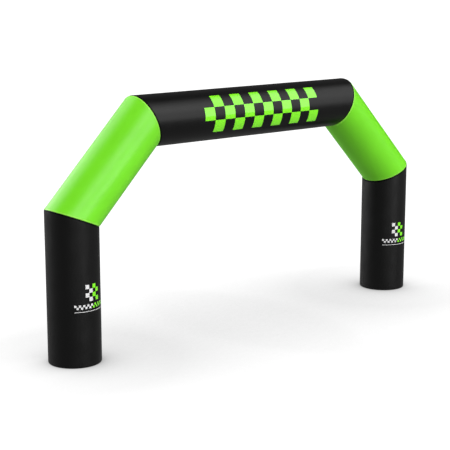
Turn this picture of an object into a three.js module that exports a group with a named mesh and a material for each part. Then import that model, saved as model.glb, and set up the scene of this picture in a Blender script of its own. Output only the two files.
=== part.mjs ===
/**
 * Inflatable arch: a gateway of five air-filled cloth tubes sewn end to end,
 * two black legs, two green shoulders at 45 degrees and a black beam.
 *
 * Millimetres, +Z up. X runs along the beam, the front faces -Y, and the
 * origin lies on the floor midway between the legs. Each tube is a straight
 * round tube whose ends lie on the mitre planes it shares with its
 * neighbours. The cloth draws in a little at every seam, and each leg is
 * closed on the floor by a sewn-in cloth disc.
 */
import * as THREE from 'three';

// Driving dimensions
const TUBE_RADIUS = 400;
const CLEAR_WIDTH = 6080; // opening between the legs
const CLEAR_HEIGHT = 3080; // floor to the underside of the beam
const SHOULDER_RUN = 1315; // a shoulder's centre line climbs this far and leans in as far
const CLOTH_THICKNESS = 2; // coated cloth of the base discs, with its turned hem
const SEAM_GAP = 0.3; // space between neighbouring pieces

// Resolution
const SIDES = 64;

// The centre line's place
const LEG_X = CLEAR_WIDTH / 2 + TUBE_RADIUS;
const BEAM_Z = CLEAR_HEIGHT + TUBE_RADIUS;
const SHOULDER_FOOT_Z = BEAM_Z - SHOULDER_RUN;
const SHOULDER_HEAD_X = LEG_X - SHOULDER_RUN;
const LEG_FOOT_Z = CLOTH_THICKNESS + SEAM_GAP;

/** How the wall draws in towards a mitred seam: the distance from the seam, and the inset there. */
const MITRE_RINGS = [
  { depth: 0, inset: 5 },
  { depth: 9, inset: 1.8 },
  { depth: 28, inset: 0 },
];

/** How the wall rounds in towards the base disc. */
const BASE_RINGS = [
  { depth: 0, inset: 8 },
  { depth: 3, inset: 3.2 },
  { depth: 9, inset: 0.7 },
  { depth: 18, inset: 0 },
];

/** The centre line's corners in the XZ plane, from the left foot to the right foot. */
const CORNERS = [
  new THREE.Vector2(-LEG_X, LEG_FOOT_Z),
  new THREE.Vector2(-LEG_X, SHOULDER_FOOT_Z),
  new THREE.Vector2(-SHOULDER_HEAD_X, BEAM_Z),
  new THREE.Vector2(SHOULDER_HEAD_X, BEAM_Z),
  new THREE.Vector2(LEG_X, SHOULDER_FOOT_Z),
  new THREE.Vector2(LEG_X, LEG_FOOT_Z),
];

const blackCloth = new THREE.MeshStandardMaterial({ color: 0x1d1e1d, roughness: 0.55, metalness: 0 });
const greenCloth = new THREE.MeshStandardMaterial({ color: 0x6fdd2a, roughness: 0.55, metalness: 0 });

/** The tubes in the order of the centre line's stretches. */
const TUBES = [
  { name: 'leg_left', cloth: blackCloth },
  { name: 'shoulder_left', cloth: greenCloth },
  { name: 'beam', cloth: blackCloth },
  { name: 'shoulder_right', cloth: greenCloth },
  { name: 'leg_right', cloth: blackCloth },
];

/** Angle of the stretch that starts at a corner, turned from straight up towards +X. */
function heading(corner) {
  const along = CORNERS[corner + 1].clone().sub(CORNERS[corner]);
  return Math.atan2(along.x, along.y);
}

/** Half the turn that the centre line takes at a corner: zero at the feet, which are cut square. */
function halfTurn(corner) {
  const isFoot = corner === 0 || corner === CORNERS.length - 1;
  return isFoot ? 0 : (heading(corner) - heading(corner - 1)) / 2;
}

/**
 * Rings of one end of a tube, from its cut face inwards. The station is
 * measured along the tube, and the slope leans the ring to lie parallel to
 * the plane of the cut.
 */
function endRings(table, cutStation, inwards, slope) {
  return table.map(({ depth, inset }) => ({
    radius: TUBE_RADIUS - inset,
    station: cutStation + inwards * depth,
    slope,
  }));
}

/** Closed solid of one tube along its own +Z, with both ends leaned to their mitre planes. */
function tubeGeometry(length, startTurn, endTurn) {
  const startCut = startTurn === 0 ? 0 : SEAM_GAP / 2 / Math.cos(startTurn);
  const endCut = endTurn === 0 ? length : length - SEAM_GAP / 2 / Math.cos(endTurn);
  const startSlope = Math.tan(startTurn);
  const endSlope = -Math.tan(endTurn);
  const startTable = startTurn === 0 ? BASE_RINGS : MITRE_RINGS;
  const endTable = endTurn === 0 ? BASE_RINGS : MITRE_RINGS;
  const rings = [
    { radius: 0, station: startCut, slope: startSlope },
    ...endRings(startTable, startCut, 1, startSlope),
    ...endRings(endTable, endCut, -1, endSlope).reverse(),
    { radius: 0, station: endCut, slope: endSlope },
  ];

  const profile = rings.map(({ radius, station }) => new THREE.Vector2(radius, station));
  const geometry = new THREE.LatheGeometry(profile, SIDES);
  const position = geometry.getAttribute('position');
  for (let i = 0; i < position.count; i += 1) {
    const { station, slope } = rings[i % rings.length];
    position.setY(i, station + slope * position.getX(i));
  }
  geometry.rotateX(Math.PI / 2);
  geometry.computeVertexNormals();
  return geometry;
}

/** One tube, laid along the stretch of the centre line that starts at a corner. */
function makeTube({ name, cloth }, corner) {
  const start = CORNERS[corner];
  const length = start.distanceTo(CORNERS[corner + 1]);
  const mesh = new THREE.Mesh(tubeGeometry(length, halfTurn(corner), halfTurn(corner + 1)), cloth);
  mesh.name = name;
  mesh.position.set(start.x, 0, start.y);
  mesh.rotation.y = heading(corner);
  return mesh;
}

/** The cloth disc that closes a leg and lies on the floor. */
function makeBaseDisc(name, x) {
  const radius = TUBE_RADIUS - BASE_RINGS[0].inset;
  const geometry = new THREE.CylinderGeometry(radius, radius, CLOTH_THICKNESS, SIDES);
  geometry.rotateX(Math.PI / 2);
  const mesh = new THREE.Mesh(geometry, blackCloth);
  mesh.name = name;
  mesh.position.set(x, 0, CLOTH_THICKNESS / 2);
  return mesh;
}

const arch = new THREE.Group();
arch.name = 'inflatable_arch';
arch.add(
  ...TUBES.map(makeTube),
  makeBaseDisc('base_disc_left', -LEG_X),
  makeBaseDisc('base_disc_right', LEG_X),
);

export default arch;
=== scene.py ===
"""The looks of an inflatable arch: five air-filled tubes of coated cloth sewn end to end.

Two black legs carry two green shoulders at 45 degrees and a black beam. Everything is
in metres, in the arch's own frame: the origin is on the floor midway between the legs,
X runs along the beam, the front with its prints faces -Y, and Z is up.
"""
from __future__ import annotations

import logging
import math
from dataclasses import dataclass, field
from enum import Enum
from functools import cached_property
from typing import Iterable

import bmesh
import bpy
from mathutils import Matrix, Vector, noise


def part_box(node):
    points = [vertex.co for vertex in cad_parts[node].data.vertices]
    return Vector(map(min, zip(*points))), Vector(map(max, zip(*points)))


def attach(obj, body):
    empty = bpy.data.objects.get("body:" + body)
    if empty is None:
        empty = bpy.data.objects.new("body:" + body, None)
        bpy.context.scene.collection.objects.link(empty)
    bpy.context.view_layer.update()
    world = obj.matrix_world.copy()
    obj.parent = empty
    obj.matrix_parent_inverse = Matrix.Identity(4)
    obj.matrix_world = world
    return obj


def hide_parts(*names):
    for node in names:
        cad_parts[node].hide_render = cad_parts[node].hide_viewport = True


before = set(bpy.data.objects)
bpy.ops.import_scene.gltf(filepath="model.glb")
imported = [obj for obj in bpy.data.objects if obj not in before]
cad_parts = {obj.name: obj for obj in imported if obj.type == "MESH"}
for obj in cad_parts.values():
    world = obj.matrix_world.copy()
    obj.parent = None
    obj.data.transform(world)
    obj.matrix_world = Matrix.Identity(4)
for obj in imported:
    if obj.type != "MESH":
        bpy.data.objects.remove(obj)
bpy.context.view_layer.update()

log = logging.getLogger("inflatable_arch")

BODY = "root"
CLOTH_MAP = "cloth_map"
QUARTER_TURN = math.pi / 2

# Driving dimensions that the frame's boxes don't give
SHOULDER_RUN = 1.315
SEAM_GAP = 0.0003

# Resolution of the tubes: sides around them, rings far from the seams and rings near them
SIDES = 256
LOOSE_STEP = 0.06
SEAM_STEPS = (
    0.0, 0.002, 0.005, 0.009, 0.014, 0.020, 0.027, 0.035,
    0.045, 0.057, 0.071, 0.087, 0.105, 0.126, 0.150,
)

# Rounds in which the station of a laid point settles
LAYING_ROUNDS = 4


class ClothColour(Enum):
    """The two cloths, by the name of their material slot."""

    BLACK = "black_cloth"
    GREEN = "green_cloth"


class TubeEnd(Enum):
    """The two ends of a tube."""

    START = 0
    FINISH = 1


# ---------------------------------------------------------------- node helpers


@dataclass(frozen=True)
class Mottle:
    """Soft changes of one value over a piece.

    Attributes:
        scale: Features per metre, about.
        low: What the value is in the lowest places.
        high: What it is in the highest.
        detail: Octaves of finer noise.
        noise_low: The noise that counts as lowest.
        noise_high: The noise that counts as highest.
    """

    scale: float
    low: float
    high: float
    detail: float = 2.0
    noise_low: float = 0.3
    noise_high: float = 0.7


class NodeTree:
    """A material's or world's node tree, with short calls for the nodes used here."""

    def __init__(self, owner: bpy.types.Material | bpy.types.World) -> None:
        """Clears the owner's tree.

        Args:
            owner: The material or world whose nodes are made.
        """
        owner.use_nodes = True
        self.tree = owner.node_tree
        self.tree.nodes.clear()

    def add(self, kind: str, **settings: object) -> bpy.types.Node:
        """Adds a node and sets its properties.

        Args:
            kind: The node's type without its ShaderNode prefix.
            **settings: Properties to set on the node.

        Returns:
            The new node.
        """
        node = self.tree.nodes.new(f"ShaderNode{kind}")
        for name, value in settings.items():
            setattr(node, name, value)
        return node

    def feed(self, socket: bpy.types.NodeSocket, value: object) -> None:
        """Links a socket to another socket, or sets it to a value.

        Args:
            socket: The input that is fed.
            value: A socket, a value, or None to leave the input as it is.
        """
        if isinstance(value, bpy.types.NodeSocket):
            self.tree.links.new(value, socket)
        elif value is not None:
            socket.default_value = value

    def math(self, operation: str, first: object, second: object = None) -> bpy.types.NodeSocket:
        """Works out a number from one or two others.

        Args:
            operation: The Math node's operation.
            first: Its first input, a socket or a number.
            second: Its second input, if it has one.

        Returns:
            The result.
        """
        node = self.add("Math", operation=operation)
        self.feed(node.inputs[0], first)
        self.feed(node.inputs[1], second)
        return node.outputs[0]

    def pick(self, share: object, first: object, second: object) -> bpy.types.NodeSocket:
        """Mixes two numbers.

        Args:
            share: How much of the second number shows, from 0 to 1.
            first: The first number.
            second: The second number.

        Returns:
            The mixed number.
        """
        node = self.add("Mix", data_type="FLOAT")
        for socket, value in zip(node.inputs[0:1] + node.inputs[2:4], (share, first, second)):
            self.feed(socket, value)
        return node.outputs[0]

    def ramp(
        self, value: object, low: float, high: float, to_low: float, to_high: float, soft: bool = False
    ) -> bpy.types.NodeSocket:
        """Maps a range of values to another, clamped.

        Args:
            value: The value to map.
            low: The range's low end.
            high: Its high end.
            to_low: What the low end becomes.
            to_high: What the high end becomes.
            soft: Whether the change starts and ends gently.

        Returns:
            The mapped value.
        """
        node = self.add("MapRange", interpolation_type="SMOOTHSTEP" if soft else "LINEAR", clamp=True)
        for socket, number in zip(node.inputs, (value, low, high, to_low, to_high)):
            self.feed(socket, number)
        return node.outputs[0]

    def noise(
        self, place: bpy.types.NodeSocket, scale: float, detail: float = 2.0
    ) -> bpy.types.NodeSocket:
        """Smooth noise from 0 to 1.

        Args:
            place: The coordinates that it is read at.
            scale: Features per metre, about.
            detail: Octaves of finer noise.

        Returns:
            The noise's value.
        """
        node = self.add("TexNoise")
        self.feed(node.inputs["Vector"], place)
        self.feed(node.inputs["Scale"], scale)
        self.feed(node.inputs["Detail"], detail)
        return node.outputs[0]

    def mottled(self, place: bpy.types.NodeSocket, mottle: Mottle) -> bpy.types.NodeSocket:
        """A value that changes softly over a piece.

        Args:
            place: The coordinates that its noise is read at.
            mottle: How it changes.

        Returns:
            The value.
        """
        value = self.noise(place, mottle.scale, mottle.detail)
        return self.ramp(value, mottle.noise_low, mottle.noise_high, mottle.low, mottle.high)

    def tint(self, colour: tuple[float, ...], tone: bpy.types.NodeSocket) -> bpy.types.NodeSocket:
        """Makes a colour darker or lighter.

        Args:
            colour: The plain colour, linear.
            tone: What it is multiplied by.

        Returns:
            The changed colour.
        """
        scale = self.add("VectorMath", operation="SCALE")
        scale.inputs[0].default_value = colour[:3]
        self.feed(scale.inputs["Scale"], tone)
        return scale.outputs[0]

    def bump(
        self, height: bpy.types.NodeSocket, distance: float, strength: float = 1.0
    ) -> bpy.types.NodeSocket:
        """Fine relief.

        Args:
            height: The relief's height, from 0 to 1.
            distance: What a height of 1 stands for, in metres.
            strength: How much of the relief shows.

        Returns:
            The surface's normal.
        """
        node = self.add("Bump")
        for name, value in (("Height", height), ("Distance", distance), ("Strength", strength)):
            self.feed(node.inputs[name], value)
        return node.outputs[0]

    def end(self, shader: bpy.types.Node, kind: str = "OutputMaterial") -> None:
        """Ends the tree with an output node for its shader."""
        output = self.add(kind)
        self.feed(output.inputs[0], shader.outputs[0])


# ---------------------------------------------------------------- prints


@dataclass(frozen=True)
class Patch:
    """A rectangle on a tube's cloth, in metres.

    Attributes:
        around: Its middle, measured around the tube from the front.
        along: Its middle, measured along the tube from its start.
        width: Its size around the tube.
        height: Its size along the tube.
    """

    around: float
    along: float
    width: float
    height: float


@dataclass(frozen=True)
class Chequer:
    """A block of chequers on a tube's cloth.

    Attributes:
        around: The block's middle, measured around the tube from the front.
        along: The block's middle, measured along the tube from its start.
        columns: Squares around the tube.
        rows: Squares along the tube.
        square: A square's side.
    """

    around: float
    along: float
    columns: int
    rows: int
    square: float

    def patches(self, columns: range | None = None) -> list[Patch]:
        """The block's filled squares, which are every second one.

        Args:
            columns: Which of its columns are wanted, or all of them.

        Returns:
            One patch for each filled square.
        """
        first = self.around - (self.columns - 1) * self.square / 2
        low = self.along - (self.rows - 1) * self.square / 2
        return [
            Patch(first + column * self.square, low + row * self.square, self.square, self.square)
            for column in columns or range(self.columns)
            for row in range(self.rows)
            if (column + row) % 2
        ]


# ---------------------------------------------------------------- finishes


@dataclass(frozen=True)
class CoatedCloth:
    """Woven polyester with a thin satin coating.

    Attributes:
        name: The material's name.
        colour: The cloth's colour, linear.
        roughness: The coating's roughness.
        gloss: The coating's specular level.
        painted_glow: Painted light: how brightly the cloth shines in its own colour, which lifts its
            shaded sides and grazing edges.
        tone: How its colour changes from place to place.
        wear: How far its roughness changes, up and down.
        wear_scale: Features of that change per metre, about.
        thread_pitch: Distance between two threads, in metres.
        weave: The weave's share of the relief.
        crumple: The crumple's share of the relief.
        crumple_scale: Features of the crumple per metre, about.
        relief: The relief's height, in metres.
        relief_shown: How much of the relief shows.
    """

    name: str
    colour: tuple[float, float, float, float]
    roughness: float = 0.33
    gloss: float = 0.5
    painted_glow: float = 0.0
    tone: Mottle = Mottle(scale=1.6, low=0.96, high=1.04, detail=3.0)
    wear: float = 0.03
    wear_scale: float = 5.0
    thread_pitch: float = 0.0011
    weave: float = 0.1
    crumple: float = 0.45
    crumple_scale: float = 40.0
    relief: float = 0.0006
    relief_shown: float = 0.5

    def material(self) -> bpy.types.Material:
        """Builds the material.

        Returns:
            The material, ready to put on a piece that has a cloth map.
        """
        material = bpy.data.materials.new(self.name)
        nodes = NodeTree(material)
        shader = nodes.add("BsdfPrincipled")
        place = nodes.add("TexCoord").outputs["Object"]
        worn = Mottle(self.wear_scale, self.roughness - self.wear, self.roughness + self.wear)
        nodes.feed(shader.inputs["Base Color"], nodes.tint(self.colour, nodes.mottled(place, self.tone)))
        nodes.feed(shader.inputs["Roughness"], nodes.mottled(place, worn))
        shader.inputs["Specular IOR Level"].default_value = self.gloss
        # Painted light: the cloth shines in its own colour, which lifts its shaded sides and grazing
        # edges.
        shader.inputs["Emission Color"].default_value = self.colour
        shader.inputs["Emission Strength"].default_value = self.painted_glow
        nodes.feed(shader.inputs["Normal"], self._relief(nodes, place))
        nodes.end(shader)
        return material

    def _relief(self, nodes: NodeTree, place: bpy.types.NodeSocket) -> bpy.types.NodeSocket:
        """Builds the weave and the crumple.

        Args:
            nodes: The material's tree.
            place: The coordinates of the piece.

        Returns:
            The cloth's normal.
        """
        threads = nodes.add("SeparateXYZ")
        nodes.feed(threads.inputs[0], nodes.add("UVMap", uv_map=CLOTH_MAP).outputs[0])
        turn = math.tau / (2 * self.thread_pitch)
        waves = [nodes.math("SINE", nodes.math("MULTIPLY", axis, turn)) for axis in threads.outputs[:2]]
        weave = nodes.math("MULTIPLY", nodes.math("MULTIPLY", *waves), self.weave)
        crumple = nodes.math("MULTIPLY", nodes.noise(place, self.crumple_scale, detail=3.0), self.crumple)
        return nodes.bump(nodes.math("ADD", weave, crumple), self.relief, self.relief_shown)


@dataclass(frozen=True)
class PrintFilm:
    """Glossy coloured film, heat-pressed on the cloth, with its weave just showing through.

    Attributes:
        name: The material's name.
        colour: The film's colour, linear.
        painted_glow: Painted light: how brightly the film shines in its own colour, which brightens it on
            every side.
        roughness: Its roughness.
        gloss: Its specular level.
        coat: The refractive index of its clear top layer.
        coat_roughness: The top layer's roughness.
        tone: How its colour changes from place to place.
        wear: How many times rougher its dullest places are.
        wear_scale: Features of that change per metre, about.
        weave_scale: Features of the cloth that shows through it, per metre, about.
        relief: The relief's height, in metres.
        relief_shown: How much of the relief shows.
    """

    name: str
    colour: tuple[float, float, float, float]
    painted_glow: float = 0.0
    roughness: float = 0.1
    gloss: float = 0.7
    coat: float = 1.8
    coat_roughness: float = 0.04
    tone: Mottle = Mottle(scale=2.0, low=0.97, high=1.0, detail=3.0)
    wear: float = 1.6
    wear_scale: float = 14.0
    weave_scale: float = 40.0
    relief: float = 0.0003
    relief_shown: float = 0.2

    def material(self) -> bpy.types.Material:
        """Builds the material.

        Returns:
            The film's material.
        """
        material = bpy.data.materials.new(self.name)
        nodes = NodeTree(material)
        shader = nodes.add("BsdfPrincipled")
        place = nodes.add("TexCoord").outputs["Object"]
        worn = Mottle(
            self.wear_scale, self.roughness, self.roughness * self.wear,
            detail=4.0, noise_low=0.35, noise_high=0.75,
        )
        nodes.feed(shader.inputs["Base Color"], nodes.tint(self.colour, nodes.mottled(place, self.tone)))
        nodes.feed(shader.inputs["Roughness"], nodes.mottled(place, worn))
        shader.inputs["Specular IOR Level"].default_value = self.gloss
        shader.inputs["Coat Weight"].default_value = 1.0
        shader.inputs["Coat IOR"].default_value = self.coat
        shader.inputs["Coat Roughness"].default_value = self.coat_roughness
        # Painted light: the film shines in its own colour, which brightens it on every side.
        shader.inputs["Emission Color"].default_value = self.colour
        shader.inputs["Emission Strength"].default_value = self.painted_glow
        relief = nodes.bump(nodes.noise(place, self.weave_scale), self.relief, self.relief_shown)
        nodes.feed(shader.inputs["Normal"], relief)
        nodes.end(shader)
        return material


@dataclass(frozen=True)
class SewingThread:
    """Twisted polyester thread.

    Attributes:
        name: The material's name.
        colour: The thread's colour, linear.
        roughness: Its roughness.
        tone: How its colour changes from place to place.
        ply_scale: Features of its ply per metre, about.
        relief: The ply's height, in metres.
    """

    name: str
    colour: tuple[float, float, float, float]
    roughness: float = 0.6
    tone: Mottle = Mottle(scale=300.0, low=0.85, high=1.1)
    ply_scale: float = 2500.0
    relief: float = 0.0001

    def material(self) -> bpy.types.Material:
        """Builds the material.

        Returns:
            The thread's material, with its ply as fine bump.
        """
        material = bpy.data.materials.new(self.name)
        nodes = NodeTree(material)
        shader = nodes.add("BsdfPrincipled")
        place = nodes.add("TexCoord").outputs["Object"]
        nodes.feed(shader.inputs["Base Color"], nodes.tint(self.colour, nodes.mottled(place, self.tone)))
        shader.inputs["Roughness"].default_value = self.roughness
        nodes.feed(shader.inputs["Normal"], nodes.bump(nodes.noise(place, self.ply_scale), self.relief))
        nodes.end(shader)
        return material


# ---------------------------------------------------------------- the arch's plan


@dataclass(frozen=True)
class Stretch:
    """A straight stretch of the arch's centre line, mitred or cut square at its ends.

    Its own frame has Z along the stretch, -Y to the arch's front and X across.

    Attributes:
        start: The centre line's corner where it starts.
        finish: The corner where it ends.
        start_turn: Half of the centre line's turn at the start, in radians, or 0 for a square cut.
        finish_turn: The same at the finish.
    """

    start: Vector
    finish: Vector
    start_turn: float
    finish_turn: float

    @cached_property
    def length(self) -> float:
        """Length along the centre line."""
        return (self.finish - self.start).length

    @cached_property
    def matrix(self) -> Matrix:
        """From the stretch's own frame to the arch's."""
        along = self.finish - self.start
        return Matrix.Translation(self.start) @ Matrix.Rotation(math.atan2(along.x, along.z), 4, "Y")

    @cached_property
    def turns(self) -> tuple[float, float]:
        """Half the turn at each end."""
        return self.start_turn, self.finish_turn

    @cached_property
    def slopes(self) -> tuple[float, float]:
        """How far the cut at each end climbs along the stretch for each metre across it."""
        return math.tan(self.start_turn), -math.tan(self.finish_turn)

    @cached_property
    def cuts(self) -> tuple[float, float]:
        """Where the cuts cross the centre line, each kept half a seam gap off the corner."""
        gaps = [SEAM_GAP / 2 / math.cos(turn) if turn else 0.0 for turn in self.turns]
        return gaps[0], self.length - gaps[1]


@dataclass(frozen=True)
class ArchPlan:
    """Where the tubes run.

    Attributes:
        radius: A tube's radius.
        leg_x: How far a leg's centre line stands from the middle.
        foot_z: Height of a leg's cut edge above the floor.
        beam_z: Height of the beam's centre line.
    """

    radius: float
    leg_x: float
    foot_z: float
    beam_z: float

    @classmethod
    def from_frame(cls) -> ArchPlan:
        """Reads the plan off the frame's boxes.

        Returns:
            The plan.
        """
        leg_low, leg_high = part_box("leg_right")
        beam_low, beam_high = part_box("beam")
        return cls(
            radius=(leg_high.x - leg_low.x) / 2,
            leg_x=(leg_high.x + leg_low.x) / 2,
            foot_z=leg_low.z,
            beam_z=(beam_high.z + beam_low.z) / 2,
        )

    def stretches(self) -> dict[str, Stretch]:
        """Lays out the centre line.

        Returns:
            The five stretches, by the name of the tube that lies on each.
        """
        knee_z = self.beam_z - SHOULDER_RUN
        head_x = self.leg_x - SHOULDER_RUN
        half_turn = math.pi / 8
        corners = {
            side: (
                Vector((sign * self.leg_x, 0.0, self.foot_z)),
                Vector((sign * self.leg_x, 0.0, knee_z)),
                Vector((sign * head_x, 0.0, self.beam_z)),
            )
            for side, sign in (("left", -1), ("right", 1))
        }
        found = {}
        for side, turn in (("left", half_turn), ("right", -half_turn)):
            foot, knee, head = corners[side]
            found[f"leg_{side}"] = Stretch(foot, knee, 0.0, turn)
            found[f"shoulder_{side}"] = Stretch(knee, head, turn, turn)
        found["beam"] = Stretch(corners["left"][2], corners["right"][2], half_turn, half_turn)
        return found


# ---------------------------------------------------------------- shapes of the cloth


@dataclass(frozen=True)
class Puckers:
    """Small creases that run off a seam into the cloth on both sides of it.

    Attributes:
        seed: Which seam it is, so that both of its tubes pucker alike.
        depth: A crease's depth.
        reach: How far a crease runs.
        density: Creases for each radian around the tube, about.
        inner_share: How much deeper they are on the inside of the bend.
        crease_width: How much of the noise that places the creases belongs to a crease.
        run_change: How much longer or shorter than its reach a crease may run.
        run_density: Changes of that run for each radian, about.
        run_seed: What sets the noise of the runs off from that of the creases.
    """

    seed: float
    depth: float = 0.0012
    reach: float = 0.055
    density: float = 9.0
    inner_share: float = 1.0
    crease_width: float = 0.3
    run_change: float = 0.9
    run_density: float = 3.0
    run_seed: float = 7.0

    def inset(self, angle: float, distance: float) -> float:
        """How far the cloth lies in.

        Args:
            angle: Place around the seam: 0 at the front, positive towards the bend's inside.
            distance: How far from the seam.

        Returns:
            The inset, in metres.
        """
        x, y = math.cos(angle), math.sin(angle)
        fold = noise.noise(Vector((x * self.density, y * self.density, self.seed)))
        crease = max(0.0, 1.0 - abs(fold) / self.crease_width)
        spot = Vector((x * self.run_density, y * self.run_density, self.seed + self.run_seed))
        run = self.reach * (1.0 + self.run_change * noise.noise(spot))
        slack = 1.0 + self.inner_share * max(0.0, y)
        return self.depth * slack * crease * crease * math.exp(-distance / run)


@dataclass
class ClothTube:
    """One air-filled tube.

    Attributes:
        name: The CAD node that it stands for.
        stretch: Where it lies.
        radius: Its radius.
        colour: Its cloth.
        seams: The puckers at its two ends.
        seam_inset: How far the cloth is drawn in at a mitred seam.
        seam_reach: How far from a mitred seam it is drawn in.
        base_inset: How far it rounds in at the floor.
        base_reach: How high above the floor it rounds in.
        rounding: How sharply both kinds of rounding fall off.
        waver: The cloth's broad unevenness, up and down.
        waver_around: Changes of the unevenness for each radian around the tube, about.
        waver_along: Changes of it for each metre along the tube, about.
        waver_seed: How far apart the unevenness of two tubes is taken from the noise.
    """

    name: str
    stretch: Stretch
    radius: float
    colour: ClothColour
    seams: tuple[Puckers, Puckers]
    seam_inset: float = 0.005
    seam_reach: float = 0.028
    base_inset: float = 0.008
    base_reach: float = 0.018
    rounding: float = 2.2
    waver: float = 0.0008
    waver_around: float = 1.3
    waver_along: float = 1.6
    waver_seed: float = 5.0

    def stations(self) -> list[float]:
        """Spaces the rings along the tube, close together near its ends.

        Returns:
            Where the rings lie.
        """
        low, high = self.stretch.cuts
        near, far = low + SEAM_STEPS[-1], high - SEAM_STEPS[-1]
        count = round((far - near) / LOOSE_STEP)
        first = [low + step for step in SEAM_STEPS]
        middle = [near + (far - near) * i / count for i in range(1, count)]
        last = [high - step for step in reversed(SEAM_STEPS)]
        return first + middle + last

    def lean(self, station: float) -> float:
        """Leans a ring: fully at the tube's ends, and easing between them.

        Args:
            station: Place along the tube, before its rings are leaned.

        Returns:
            How far the ring climbs along the tube for each metre across it.
        """
        margin = SEAM_STEPS[-1]
        share = (station - margin) / (self.stretch.length - 2 * margin)
        share = min(1.0, max(0.0, share))
        at_start, at_finish = self.stretch.slopes
        return (1 - share) * at_start + share * at_finish

    def inset(self, angle: float, station: float) -> float:
        """How far the cloth lies inside the tube's full radius.

        Args:
            angle: Place around the tube, from its front towards its own X.
            station: Place along the tube, before its rings are leaned.

        Returns:
            The inset, in metres.
        """
        total = 0.0
        for cut, turn, puckers in zip(self.stretch.cuts, self.stretch.turns, self.seams):
            distance = abs(station - cut)
            if distance > SEAM_STEPS[-1]:
                continue
            depth = self.seam_inset if turn else self.base_inset
            reach = self.seam_reach if turn else self.base_reach
            total += depth * max(0.0, 1.0 - distance / reach) ** self.rounding
            total += puckers.inset(-angle if turn < 0 else angle, distance)
        spot = Vector((
            math.cos(angle) * self.waver_around,
            math.sin(angle) * self.waver_around,
            station * self.waver_along + self.seams[0].seed * self.waver_seed,
        ))
        return total + self.waver * noise.noise(spot)

    def settle(self, point: Vector) -> tuple[Vector, float, float]:
        """Moves a point of the plain tube to where the cloth really lies.

        Args:
            point: In the stretch's frame, with Z the station before its ring is leaned.

        Returns:
            The point in the arch's frame, and its place around and along the cloth.
        """
        angle = math.atan2(point.x, -point.y)
        distance = math.hypot(point.x, point.y) - self.inset(angle, point.z)
        across = distance * math.sin(angle)
        along = point.z + self.lean(point.z) * across
        settled = self.stretch.matrix @ Vector((across, -distance * math.cos(angle), along))
        return settled, angle * self.radius, along

    def lay(self, flat: Vector) -> Vector:
        """Where a point of something flat lies once it is laid on the cloth.

        Args:
            flat: Its place around the tube, its place along it, and its height above the cloth.

        Returns:
            The point in the arch's frame.
        """
        angle = flat.x / self.radius
        across = self.radius * math.sin(angle)
        station = flat.y
        for _ in range(LAYING_ROUNDS):
            station = flat.y - self.lean(station) * across
        lifted = self.radius + flat.z
        return self.settle(Vector((lifted * math.sin(angle), -lifted * math.cos(angle), station)))[0]

    def spun(self, profile: Iterable[tuple[float, float]], closed: bool) -> bmesh.types.BMesh:
        """Spins a profile round the tube's centre line.

        Args:
            profile: Points as (distance from the centre line, station).
            closed: Whether the profile is a closed loop.

        Returns:
            The plain mesh, in the stretch's frame.
        """
        mesh = bmesh.new()
        points = [mesh.verts.new((0.0, -distance, station)) for distance, station in profile]
        ends = points[1:] + points[:1] if closed else points[1:]
        edges = [mesh.edges.new(pair) for pair in zip(points, ends)]
        bmesh.ops.spin(mesh, geom=points + edges, cent=(0, 0, 0), axis=(0, 0, 1), angle=math.tau,
                       steps=SIDES, use_merge=True)
        return mesh

    def dress(self, mesh: bmesh.types.BMesh, name: str, flat_ends: bool) -> bpy.types.Object:
        """Settles a plain mesh on the cloth, maps it and makes it an object.

        Args:
            mesh: The plain mesh, which is freed.
            name: The new piece's name.
            flat_ends: Whether open ends are closed with flat caps.

        Returns:
            The piece, riding on the arch.
        """
        if flat_ends:
            caps = bmesh.ops.holes_fill(mesh, edges=mesh.edges)["faces"]
            for face in caps:
                for edge in face.edges:
                    edge.smooth = False
        places = {}
        for vert in mesh.verts:
            vert.co, around, along = self.settle(vert.co)
            places[vert] = (around, along)
        bmesh.ops.recalc_face_normals(mesh, faces=mesh.faces)
        if mesh.calc_volume(signed=True) < 0:
            bmesh.ops.reverse_faces(mesh, faces=mesh.faces)
        layer = mesh.loops.layers.uv.new(CLOTH_MAP)
        girth = math.tau * self.radius
        for face in mesh.faces:
            # Only a cap has more than four corners, and it is flat
            face.smooth = len(face.verts) <= 4
            arounds = [places[loop.vert][0] for loop in face.loops]
            # A face across the back, where the map starts again, keeps to one end of it
            split = max(arounds) - min(arounds) > girth / 2 and face.smooth
            for loop, around in zip(face.loops, arounds):
                shifted = around + girth if split and around < 0 else around
                loop[layer].uv = (shifted, places[loop.vert][1])
        return make_piece(mesh, name)

    def build(self) -> bpy.types.Object:
        """Makes the tube.

        Returns:
            The tube, standing for its CAD node.
        """
        mesh = self.spun([(self.radius, station) for station in self.stations()], closed=False)
        tube = self.dress(mesh, f"{self.name}_cloth", flat_ends=True)
        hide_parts(self.name)
        return tube


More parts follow.
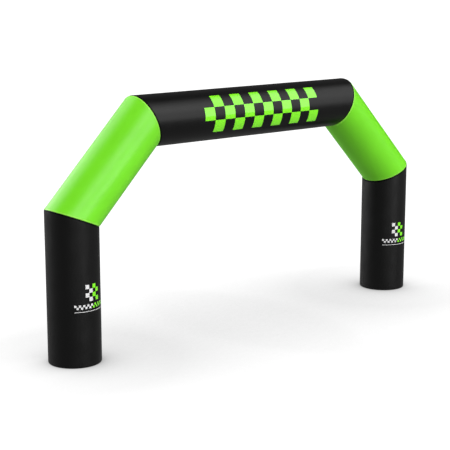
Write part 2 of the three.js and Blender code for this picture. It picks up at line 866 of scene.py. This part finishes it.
@dataclass
class FelledSeam:
    """The turned and top-stitched strip of cloth beside a mitred seam.

    Attributes:
        tube: The tube whose cloth carries the strip.
        end: Which of its ends.
        name: The strip's name.
        width: The strip's width.
        thickness: How far it stands proud.
        set_back: How far its edge stays off the seam.
        underlay: How far its underside lies above the cloth.
        bevel: How far its upper edges are cut back.
        rows: The stitch rows' distances from the seam.
        stitch_pitch: From one stitch to the next.
        stitch_length: A stitch's length.
        stitch_facets: A stitch's faces around it and along it.
        thread: The thread's diameter.
        thread_lift: How much of its diameter the thread's middle lies above the strip.
    """

    tube: ClothTube
    end: TubeEnd
    name: str
    width: float = 0.024
    thickness: float = 0.0012
    set_back: float = 0.0008
    underlay: float = 0.0001
    bevel: float = 0.0004
    rows: tuple[float, ...] = (0.005, 0.019)
    stitch_pitch: float = 0.0052
    stitch_length: float = 0.0042
    stitch_facets: tuple[int, int] = (5, 4)
    thread: float = 0.0008
    thread_lift: float = 0.15

    def station(self, distance: float) -> float:
        """The tube's station at a distance from the seam."""
        inwards = 1.0 if self.end is TubeEnd.START else -1.0
        return self.tube.stretch.cuts[self.end.value] + inwards * distance

    def strip(self) -> bpy.types.Object:
        """Makes the strip.

        Returns:
            The strip, lying on the tube's cloth.
        """
        outline = (
            (self.set_back, self.underlay),
            (self.set_back, self.thickness - self.bevel),
            (self.set_back + self.bevel, self.thickness),
            (self.width - self.bevel, self.thickness),
            (self.width, self.thickness - self.bevel),
            (self.width, self.underlay),
        )
        profile = [(self.tube.radius + height, self.station(distance)) for distance, height in outline]
        strip = self.tube.dress(self.tube.spun(profile, closed=True), self.name, flat_ends=False)
        return strip

    def stitches(self) -> bpy.types.Object:
        """Makes the rows of stitches.

        Returns:
            All stitches of the strip, as one piece.
        """
        mesh = bmesh.new()
        # A row has as many groups as a group has stitches
        group = round(math.sqrt(math.tau * self.tube.radius / self.stitch_pitch))
        group_angle = math.tau / group
        lift = self.tube.radius + self.thickness + self.thread * self.thread_lift
        around, along = self.stitch_facets
        for distance in self.rows:
            place = Matrix.Translation((0.0, -lift, self.station(distance)))
            size = Matrix.Diagonal((self.thread, self.thread, self.stitch_length, 1.0))
            # The ball is drawn out between its poles and turned to lie along the seam
            lying = place @ Matrix.Rotation(QUARTER_TURN, 4, "Y") @ size
            bmesh.ops.create_uvsphere(mesh, u_segments=around, v_segments=along, radius=0.5, matrix=lying)
        self._repeat(mesh, group_angle / group, group)
        self._repeat(mesh, group_angle, group)
        for vert in mesh.verts:
            vert.co = self.tube.settle(vert.co)[0]
        for face in mesh.faces:
            face.smooth = True
        stitches = make_piece(mesh, f"{self.name}_stitches")
        return stitches

    @staticmethod
    def _repeat(mesh: bmesh.types.BMesh, step: float, count: int) -> None:
        """Copies a whole mesh round the tube's centre line.

        Args:
            mesh: The mesh, which keeps its copies.
            step: Angle from one copy to the next.
            count: How many of it there are at the end.
        """
        whole = [*mesh.verts, *mesh.edges, *mesh.faces]
        bmesh.ops.spin(mesh, geom=whole, cent=(0, 0, 0), axis=(0, 0, 1), angle=step * (count - 1),
                       steps=count - 1, use_duplicate=True)


@dataclass
class PressedPrint:
    """Patches of film, pressed on a tube's cloth.

    Attributes:
        tube: The tube that carries them.
        name: The print's name.
        patches: Where they lie.
        thickness: How far the film stands proud.
        bite: How far it is pressed into the cloth.
        cell: The size of its mesh's cells.
    """

    tube: ClothTube
    name: str
    patches: list[Patch]
    thickness: float = 0.0004
    bite: float = 0.0003
    cell: float = 0.012

    def build(self) -> bpy.types.Object:
        """Makes the print.

        Returns:
            All of its patches, as one piece.
        """
        mesh = bmesh.new()
        for patch in self.patches:
            place = Matrix.Translation((patch.around, patch.along, -self.bite))
            size = Matrix.Diagonal((patch.width, patch.height, 1.0, 1.0))
            around, along = math.ceil(patch.width / self.cell), math.ceil(patch.height / self.cell)
            bmesh.ops.create_grid(mesh, x_segments=around, y_segments=along, size=0.5, matrix=place @ size)
        raised = bmesh.ops.extrude_face_region(mesh, geom=mesh.faces[:], use_keep_orig=True)
        top = [item for item in raised["geom"] if isinstance(item, bmesh.types.BMVert)]
        bmesh.ops.translate(mesh, verts=top, vec=(0, 0, self.bite + self.thickness))
        bmesh.ops.recalc_face_normals(mesh, faces=mesh.faces)
        layer = mesh.loops.layers.uv.new(CLOTH_MAP)
        for face in mesh.faces:
            # The film's two sides are smooth and its cut edge is sharp
            face.smooth = abs(face.normal.z) > 0.5
            for edge in face.edges:
                edge.smooth = edge.smooth and face.smooth
            for loop in face.loops:
                loop[layer].uv = loop.vert.co.xy
        for vert in mesh.verts:
            vert.co = self.tube.lay(vert.co)
        return make_piece(mesh, self.name)


@dataclass
class BaseDisc:
    """The disc of cloth that closes a leg on the floor.

    Attributes:
        node: The CAD node that it stands for.
        hem: Width of the doubled hem round the disc.
        hem_step: How far the single cloth lies above the hem's underside.
        rim: The rounding of the disc's rim, as a share of its thickness.
        rim_segments: Steps of that rounding.
    """

    node: str
    hem: float = 0.022
    hem_step: float = 0.0006
    rim: float = 0.35
    rim_segments: int = 3

    def build(self) -> bpy.types.Object:
        """Makes the disc.

        Returns:
            The disc.
        """
        low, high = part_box(self.node)
        radius = (high.x - low.x) / 2
        thickness = high.z - low.z
        middle = (low + high) / 2
        mesh = bmesh.new()
        bmesh.ops.create_circle(mesh, cap_ends=True, cap_tris=False, radius=radius, segments=SIDES)
        raised = bmesh.ops.extrude_face_region(mesh, geom=mesh.faces[:])
        top = [item for item in raised["geom"] if isinstance(item, bmesh.types.BMVert)]
        bmesh.ops.translate(mesh, verts=top, vec=(0, 0, thickness))
        bmesh.ops.recalc_face_normals(mesh, faces=mesh.faces)
        flats = [found for found in mesh.faces if len(found.verts) > 4]
        rims = [edge for found in flats for edge in found.edges]
        bmesh.ops.bevel(mesh, geom=rims, offset=thickness * self.rim, offset_type="OFFSET",
                        segments=self.rim_segments, profile=0.5, affect="EDGES", material=-1)
        underside = min(mesh.faces, key=lambda found: found.calc_center_median().z)
        bmesh.ops.inset_region(mesh, faces=[underside], thickness=self.hem, use_even_offset=True)
        bmesh.ops.inset_region(mesh, faces=[underside], thickness=self.hem_step, depth=-self.hem_step,
                               use_even_offset=True)
        bmesh.ops.poke(mesh, faces=[found for found in mesh.faces if len(found.verts) > 4])
        bmesh.ops.translate(mesh, verts=mesh.verts, vec=(middle.x, middle.y, low.z))
        layer = mesh.loops.layers.uv.new(CLOTH_MAP)
        for found in mesh.faces:
            for loop in found.loops:
                loop[layer].uv = loop.vert.co.xy
        disc = make_piece(mesh, f"{self.node}_cloth")
        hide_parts(self.node)
        return disc


def make_piece(mesh: bmesh.types.BMesh, name: str) -> bpy.types.Object:
    """Makes a piece of the arch from a mesh in the arch's frame.

    Args:
        mesh: The mesh, which is freed.
        name: The piece's name.

    Returns:
        The piece, riding on the arch.
    """
    data = bpy.data.meshes.new(name)
    mesh.to_mesh(data)
    mesh.free()
    piece = bpy.data.objects.new(name, data)
    bpy.context.scene.collection.objects.link(piece)
    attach(piece, BODY)
    log.info("%s: %d faces", name, len(data.polygons))
    return piece


def paint(piece: bpy.types.Object, material: bpy.types.Material) -> None:
    """Gives a piece its only material."""
    piece.data.materials.clear()
    piece.data.materials.append(material)


# ---------------------------------------------------------------- studio


@dataclass(frozen=True)
class SoftLight:
    """A soft round light, very far off.

    Attributes:
        azimuth: Degrees round from the front (-Y) towards +X.
        elevation: Degrees above the horizon.
        spread: Degrees from its middle to where it has faded out.
        strength: Its brightness.
    """

    azimuth: float
    elevation: float
    spread: float
    strength: float

    def direction(self) -> Vector:
        """Turns the two angles into a direction.

        Returns:
            Unit vector towards the light.
        """
        azimuth, elevation = math.radians(self.azimuth), math.radians(self.elevation)
        flat = math.cos(elevation)
        return Vector((math.sin(azimuth) * flat, -math.cos(azimuth) * flat, math.sin(elevation)))


@dataclass
class Studio:
    """A white room with soft lights, and its floor.

    Attributes:
        lights: The soft lights.
        floor_radius: The floor's radius.
        floor_sides: Sides of the floor's rim.
        floor_bounce: How brightly the floor lights the arch.
        floor_white: The floor's brightness away from the arch.
        shades: How far off the arch still shades the floor, and how strongly. The near one
            gives back what the far one takes too much of, close beside the legs.
        shade_samples: How finely that shade is worked out.
    """

    lights: tuple[SoftLight, ...]
    floor_radius: float = 400.0
    floor_sides: int = 96
    floor_bounce: float = 0.185
    floor_white: float = 1.2
    shades: tuple[tuple[float, float], ...] = ((4.5, 2.55), (1.2, -1.19))
    shade_samples: int = 48

    def build(self) -> None:
        """Makes the lights and the floor."""
        self._world()
        self._floor()

    def _world(self) -> None:
        """The soft lights, as the world, with plain white behind the arch."""
        world = bpy.data.worlds.new("studio")
        bpy.context.scene.world = world
        nodes = NodeTree(world)
        direction = nodes.add("TexCoord").outputs["Generated"]
        total = 0.0
        for light in self.lights:
            facing = nodes.add("VectorMath", operation="DOT_PRODUCT")
            nodes.feed(facing.inputs[0], direction)
            facing.inputs[1].default_value = light.direction()
            faded = math.cos(math.radians(light.spread))
            lit = nodes.ramp(facing.outputs["Value"], faded, 1.0, 0.0, light.strength, soft=True)
            total = nodes.math("ADD", lit, total)
        seen = nodes.add("LightPath").outputs["Is Camera Ray"]
        background = nodes.add("Background")
        nodes.feed(background.inputs["Strength"], nodes.pick(seen, total, 1.0))
        background.inputs["Color"].default_value = (1, 1, 1, 1)
        nodes.end(background, "OutputWorld")

    def _floor(self) -> None:
        """A wide white floor that gives off its own light, with the shade under the arch painted into it.
        """
        mesh = bmesh.new()
        bmesh.ops.create_circle(mesh, cap_ends=True, radius=self.floor_radius, segments=self.floor_sides)
        data = bpy.data.meshes.new("studio_floor")
        mesh.to_mesh(data)
        mesh.free()
        floor = bpy.data.objects.new("studio_floor", data)
        bpy.context.scene.collection.objects.link(floor)
        material = bpy.data.materials.new("white floor")
        nodes = NodeTree(material)
        bright = self.floor_white
        # Painted shade: the floor is darkened by how much of the sky the arch hides from it nearby.
        for reach, depth in self.shades:
            shade = nodes.add("AmbientOcclusion", samples=self.shade_samples)
            shade.inputs["Distance"].default_value = reach
            covered = nodes.math("SUBTRACT", 1.0, shade.outputs["AO"])
            bright = nodes.math("SUBTRACT", bright, nodes.math("MULTIPLY", covered, depth))
        seen = nodes.add("LightPath").outputs["Is Camera Ray"]
        painted_glow = nodes.add("Emission")
        nodes.feed(painted_glow.inputs["Strength"], nodes.pick(seen, self.floor_bounce, bright))
        nodes.end(painted_glow)
        paint(floor, material)


@dataclass(frozen=True)
class StandingCamera:
    """A camera at a standing height, off to the arch's left.

    Attributes:
        location: Where it stands.
        yaw: Degrees that it looks to the right of +Y.
        pitch: Degrees that it looks down.
        focal_length: In millimetres.
        sensor_width: In millimetres.
        clip_end: How far it sees.
    """

    location: tuple[float, float, float] = (-13.688, -14.819, 5.702)
    yaw: float = 41.790
    pitch: float = 11.500
    focal_length: float = 100.04
    sensor_width: float = 36.0
    clip_end: float = 2000.0

    def build(self) -> None:
        """Makes the camera and looks through it."""
        data = bpy.data.cameras.new("standing_camera")
        data.lens = self.focal_length
        data.sensor_width = self.sensor_width
        data.clip_end = self.clip_end
        camera = bpy.data.objects.new("standing_camera", data)
        camera.location = self.location
        camera.rotation_euler = (QUARTER_TURN - math.radians(self.pitch), 0.0, -math.radians(self.yaw))
        bpy.context.scene.collection.objects.link(camera)
        bpy.context.scene.camera = camera


# ---------------------------------------------------------------- the whole arch


BLACK_CLOTH = CoatedCloth("black cloth", (0.0006, 0.0006, 0.0006, 1.0))
# The green cloth shines a little in its own colour: painted light on its shaded sides and edges.
GREEN_CLOTH = CoatedCloth("green cloth", (0.228, 0.92, 0.025, 1.0), painted_glow=0.05)
# The black tape is darker than the black cloth: a painted shade line on the black side of each seam.
BLACK_TAPE_PAINTED_SHADE = CoatedCloth("black seam tape painted shade", (0.0004, 0.0004, 0.0004, 1.0), roughness=0.55, gloss=0.1)
# The green tape is lighter than the green cloth and shines in its own colour: a painted highlight line on
# the green side of each seam.
GREEN_TAPE_PAINTED_HIGHLIGHT = CoatedCloth("green seam tape painted highlight", (0.36, 1.0, 0.08, 1.0), painted_glow=0.08)
BLACK_THREAD = SewingThread("black thread", (0.01, 0.01, 0.01, 1.0))
GREEN_THREAD = SewingThread("green thread", (0.3, 0.9, 0.1, 1.0))
# Both films shine in their own colour: painted light that brightens them.
GREEN_FILM = PrintFilm("green film", (0.25, 1.0, 0.008, 1.0), painted_glow=0.22)
WHITE_FILM = PrintFilm("white film", (0.93, 0.93, 0.93, 1.0), painted_glow=0.15)

STUDIO_LIGHTS = (
    SoftLight(azimuth=19, elevation=44, spread=24, strength=5.2),
    SoftLight(azimuth=-22, elevation=23, spread=24, strength=3.1),
    SoftLight(azimuth=11, elevation=0, spread=24, strength=4.0),
    SoftLight(azimuth=43, elevation=11, spread=29, strength=1.0),
    SoftLight(azimuth=73, elevation=32, spread=25, strength=1.0),
    SoftLight(azimuth=143, elevation=36, spread=46, strength=0.1),
    SoftLight(azimuth=196, elevation=0, spread=40, strength=4.2),
    SoftLight(azimuth=218, elevation=30, spread=35, strength=2.9),
)


@dataclass
class InflatableArch:
    """The arch and all its pieces.

    Attributes:
        plan: Where the tubes run.
        seam_seeds: A number for each corner of the centre line, from the left foot to the right.
        tubes: The tubes by name, once they are made.
    """

    plan: ArchPlan
    seam_seeds: tuple[float, ...] = (0.3, 1.7, 3.1, 4.9, 6.3, 8.1)
    tubes: dict[str, ClothTube] = field(default_factory=dict)

    def build(self) -> None:
        """Makes every piece of the arch and dresses it."""
        self._tubes()
        self._seams()
        self._prints()

    def _tubes(self) -> None:
        """The five tubes and the discs under the legs."""
        seeds = self.seam_seeds
        corners = {
            "leg_left": (0, 1), "shoulder_left": (1, 2), "beam": (2, 3),
            "shoulder_right": (4, 3), "leg_right": (5, 4),
        }
        cloths = {
            ClothColour.BLACK: BLACK_CLOTH.material(),
            ClothColour.GREEN: GREEN_CLOTH.material(),
        }
        for name, stretch in self.plan.stretches().items():
            ends = tuple(Puckers(seeds[corner]) for corner in corners[name])
            colour = ClothColour.GREEN if name.startswith("shoulder") else ClothColour.BLACK
            tube = ClothTube(name, stretch, self.plan.radius, colour, ends)
            self.tubes[name] = tube
            paint(tube.build(), cloths[colour])
        for side in ("left", "right"):
            paint(BaseDisc(f"base_disc_{side}").build(), cloths[ClothColour.BLACK])

    def _seams(self) -> None:
        """The felled seams beside the four mitres."""
        # The tape colours paint a highlight line on the green side of a seam and a shade line on the black
        # side.
        painted_line_tapes = {
            ClothColour.GREEN: GREEN_TAPE_PAINTED_HIGHLIGHT.material(),
            ClothColour.BLACK: BLACK_TAPE_PAINTED_SHADE.material(),
        }
        threads = {
            ClothColour.GREEN: GREEN_THREAD.material(),
            ClothColour.BLACK: BLACK_THREAD.material(),
        }
        for side in ("left", "right"):
            beam_end = TubeEnd.START if side == "left" else TubeEnd.FINISH
            places = (
                (f"knee_seam_{side}", self.tubes[f"shoulder_{side}"], TubeEnd.START),
                (f"head_seam_{side}", self.tubes[f"shoulder_{side}"], TubeEnd.FINISH),
                (f"leg_seam_{side}", self.tubes[f"leg_{side}"], TubeEnd.FINISH),
                (f"beam_seam_{side}", self.tubes["beam"], beam_end),
            )
            for name, tube, end in places:
                seam = FelledSeam(tube, end, name)
                paint(seam.strip(), painted_line_tapes[tube.colour])
                paint(seam.stitches(), threads[tube.colour])

    def _prints(self) -> None:
        """The chequers on the beam and on the legs."""
        green = GREEN_FILM.material()
        white = WHITE_FILM.material()
        beam = self.tubes["beam"]
        middle = beam.stretch.length / 2
        block = Chequer(around=-0.065, along=middle + 0.04, columns=3, rows=12, square=0.206)
        paint(PressedPrint(beam, "beam_chequer", block.patches()).build(), green)
        for side, around in (("left", 0.063), ("right", -0.049)):
            leg = self.tubes[f"leg_{side}"]
            badge = Chequer(around, along=1.117, columns=4, rows=4, square=0.0625)
            ribbon = Chequer(around, along=0.917, columns=18, rows=2, square=0.0335)
            rule = Patch(around, along=0.843, width=0.6, height=0.008)
            # The left half of each block is white and the right half green
            whites = badge.patches(range(2)) + ribbon.patches(range(9)) + [rule]
            greens = badge.patches(range(2, 4)) + ribbon.patches(range(9, 18))
            paint(PressedPrint(leg, f"leg_{side}_chequer_white", whites).build(), white)
            paint(PressedPrint(leg, f"leg_{side}_chequer_green", greens).build(), green)


def main() -> None:
    """Builds the camera, the studio and the arch, and notes the sizes."""
    logging.basicConfig(level=logging.INFO, format="%(relativeCreated)d %(name)s: %(message)s")
    StandingCamera().build()
    bpy.context.scene.view_settings.view_transform = "Standard"
    Studio(STUDIO_LIGHTS).build()
    InflatableArch(ArchPlan.from_frame()).build()


if __name__ == "__main__":
    main()
